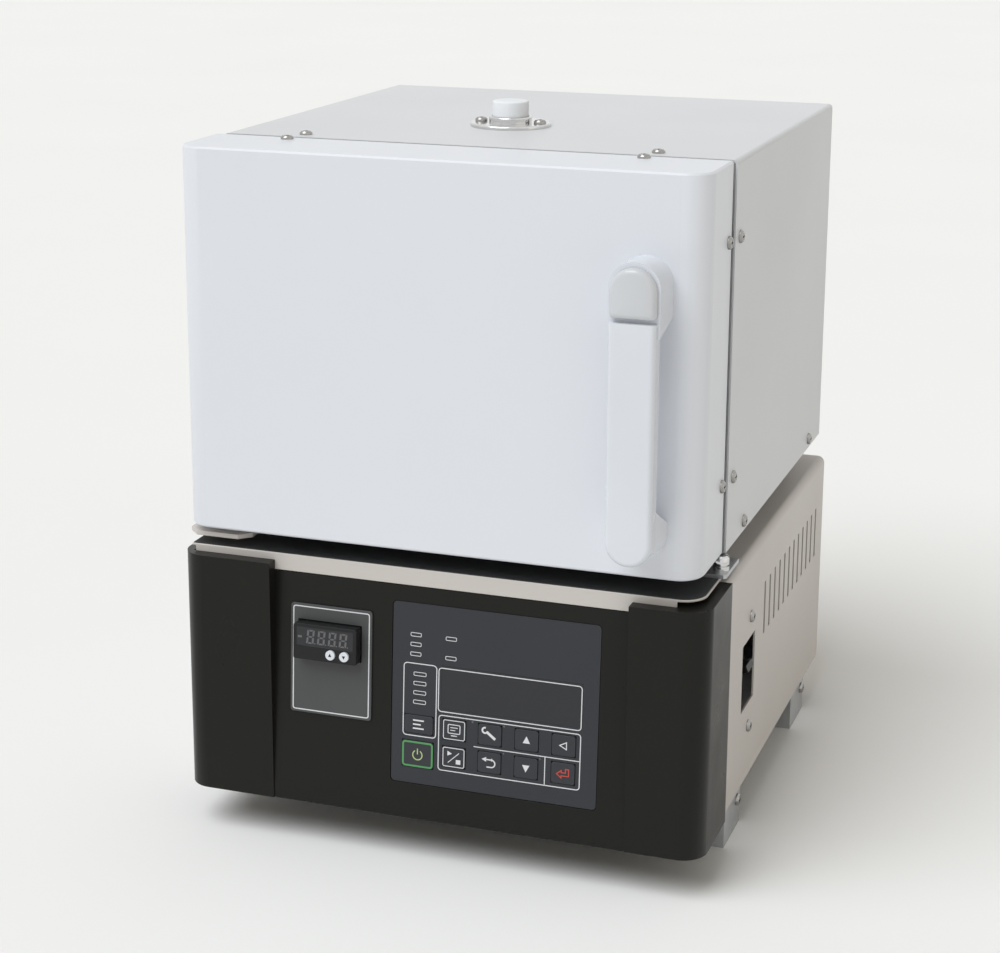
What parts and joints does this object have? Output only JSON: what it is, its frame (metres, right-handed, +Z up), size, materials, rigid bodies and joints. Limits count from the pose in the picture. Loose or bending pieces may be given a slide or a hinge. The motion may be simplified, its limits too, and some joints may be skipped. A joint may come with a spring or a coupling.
{
  "type": "muffle furnace",
  "caption": "Bench-top muffle furnace: side-hinged insulated door with a latch handle, ceramic chamber, top exhaust port with stopper, and a control cabinet with a keypad below.",
  "frame": {"origin": "middle of the outline at floor level", "axes": "+Z up, the door faces -Y, +X to the right as seen from the front"},
  "size_m": [0.3424, 0.3968, 0.4585],
  "materials": {
    "white_paint": "satin powder coat, cool white",
    "beige_paint": "satin powder coat, warm grey",
    "white_plastic": "moulded, semi-gloss",
    "grey_plastic": "moulded, glossy",
    "black_plastic": "moulded, satin black",
    "key_plastic": "membrane film",
    "round_key": "white",
    "window": "dark window",
    "screw_steel": "bright plated",
    "zinc": "zinc plated",
    "polished": "polished",
    "steel": "plain",
    "fibre": "soft ceramic fibre",
    "ceramic": "fired, matt white",
    "rope": "woven glass rope",
    "wire": "oxidised heating alloy",
    "mat": "black heat-resistant sheet",
    "board": "printed circuit board",
    "brass": "bush"
  },
  "bodies": {
    "furnace": {"hood_cover": "white_paint", "hood_back": "white_paint", "front_frame": "steel", "latch_strike": "zinc", "furnace_base": "zinc", "insulation_front": "fibre", "insulation_body": "fibre", "muffle": "ceramic", "heating_coils": "wire", "thermocouple": "steel", "exhaust_tube": "ceramic", "exhaust_flange": "polished", "upper_hinge_plate": "zinc", "lower_hinge_plate": "beige_paint", "hinge_pins": "steel", "rest_bracket": "zinc", "rest_pin": "polished", "base_rails": "zinc", "case_screws": "screw_steel", "cabinet_cover": "beige_paint", "chassis": "zinc", "cabinet_back": "beige_paint", "power_inlet": "black_plastic", "feet": "zinc", "sill_plate": "beige_paint", "sill_mat": "mat", "fascia": "black_plastic", "overheat_plate": "black_plastic", "overheat_unit": "black_plastic", "overheat_window": "window", "control_panel": "black_plastic", "control_display": "window", "breaker": "black_plastic", "breaker_rail": "zinc", "control_board": "board", "relay": "black_plastic"},
    "door": {"door_shell": "white_paint", "door_inner_plate": "steel", "door_insulation": "fibre", "door_plug": "fibre", "door_gasket": "rope", "door_screws": "screw_steel", "handle": "white_plastic", "door_bushes": "brass"},
    "thumb_cap": {"thumb_button": "grey_plastic"},
    "latch": {"latch_tongue": "steel"},
    "stopper": {"exhaust_plug": "ceramic"},
    "switch_lever": {"breaker_lever": "black_plastic"},
    "key_mode_body": {"key_mode": "key_plastic"},
    "key_power_body": {"key_power": "key_plastic"},
    "key_view_body": {"key_view": "key_plastic"},
    "key_run_body": {"key_run": "key_plastic"},
    "key_menu_body": {"key_menu": "key_plastic"},
    "key_escape_body": {"key_escape": "key_plastic"},
    "key_up_body": {"key_up": "key_plastic"},
    "key_down_body": {"key_down": "key_plastic"},
    "key_left_body": {"key_left": "key_plastic"},
    "key_enter_body": {"key_enter": "key_plastic"},
    "overheat_down_key_body": {"overheat_down_key": "round_key"},
    "overheat_up_key_body": {"overheat_up_key": "round_key"}
  },
  "joints": [
    {"name": "door_swing", "type": "hinge", "parent": "furnace", "child": "door", "pos_m": [-0.158, -0.12345, 0.322], "axis": [0, 0, -1], "range_deg": [0, 110]},
    {"name": "thumb_press", "type": "slide", "parent": "door", "child": "thumb_cap", "axis": [0, 0, -1], "range_m": [0, 0.0022]},
    {"name": "latch_slide", "type": "slide", "parent": "door", "child": "latch", "axis": [0, 0, -1], "range_m": [0, 0.0022], "stiffness_N_per_m": 600},
    {"name": "stopper_lift", "type": "slide", "parent": "furnace", "child": "stopper", "axis": [0, 0, 1], "range_m": [0, 0.032]},
    {"name": "breaker_throw", "type": "hinge", "parent": "furnace", "child": "switch_lever", "pos_m": [0.159, -0.04645, 0.1045], "axis": [0, 1, 0], "range_deg": [0, 44]},
    {"name": "key_mode_press", "type": "slide", "parent": "furnace", "child": "key_mode_body", "axis": [0, 0.9981, -0.0609], "range_m": [0, 0.0004], "stiffness_N_per_m": 900},
    {"name": "key_power_press", "type": "slide", "parent": "furnace", "child": "key_power_body", "axis": [0, 0.9981, -0.0609], "range_m": [0, 0.0004], "stiffness_N_per_m": 900},
    {"name": "key_view_press", "type": "slide", "parent": "furnace", "child": "key_view_body", "axis": [0, 0.9981, -0.0609], "range_m": [0, 0.0004], "stiffness_N_per_m": 900},
    {"name": "key_run_press", "type": "slide", "parent": "furnace", "child": "key_run_body", "axis": [0, 0.9981, -0.0609], "range_m": [0, 0.0004], "stiffness_N_per_m": 900},
    {"name": "key_menu_press", "type": "slide", "parent": "furnace", "child": "key_menu_body", "axis": [0, 0.9981, -0.0609], "range_m": [0, 0.0004], "stiffness_N_per_m": 900},
    {"name": "key_escape_press", "type": "slide", "parent": "furnace", "child": "key_escape_body", "axis": [0, 0.9981, -0.0609], "range_m": [0, 0.0004], "stiffness_N_per_m": 900},
    {"name": "key_up_press", "type": "slide", "parent": "furnace", "child": "key_up_body", "axis": [0, 0.9981, -0.0609], "range_m": [0, 0.0004], "stiffness_N_per_m": 900},
    {"name": "key_down_press", "type": "slide", "parent": "furnace", "child": "key_down_body", "axis": [0, 0.9981, -0.0609], "range_m": [0, 0.0004], "stiffness_N_per_m": 900},
    {"name": "key_left_press", "type": "slide", "parent": "furnace", "child": "key_left_body", "axis": [0, 0.9981, -0.0609], "range_m": [0, 0.0004], "stiffness_N_per_m": 900},
    {"name": "key_enter_press", "type": "slide", "parent": "furnace", "child": "key_enter_body", "axis": [0, 0.9981, -0.0609], "range_m": [0, 0.0004], "stiffness_N_per_m": 900},
    {"name": "overheat_down_key_press", "type": "slide", "parent": "furnace", "child": "overheat_down_key_body", "axis": [0, 0.9981, -0.0609], "range_m": [0, 0.0007], "stiffness_N_per_m": 900},
    {"name": "overheat_up_key_press", "type": "slide", "parent": "furnace", "child": "overheat_up_key_body", "axis": [0, 0.9981, -0.0609], "range_m": [0, 0.0007], "stiffness_N_per_m": 900}
  ],
  "couplings": [
    {"joint": "thumb_press", "follows": "latch_slide", "ratio": 1}
  ]
}
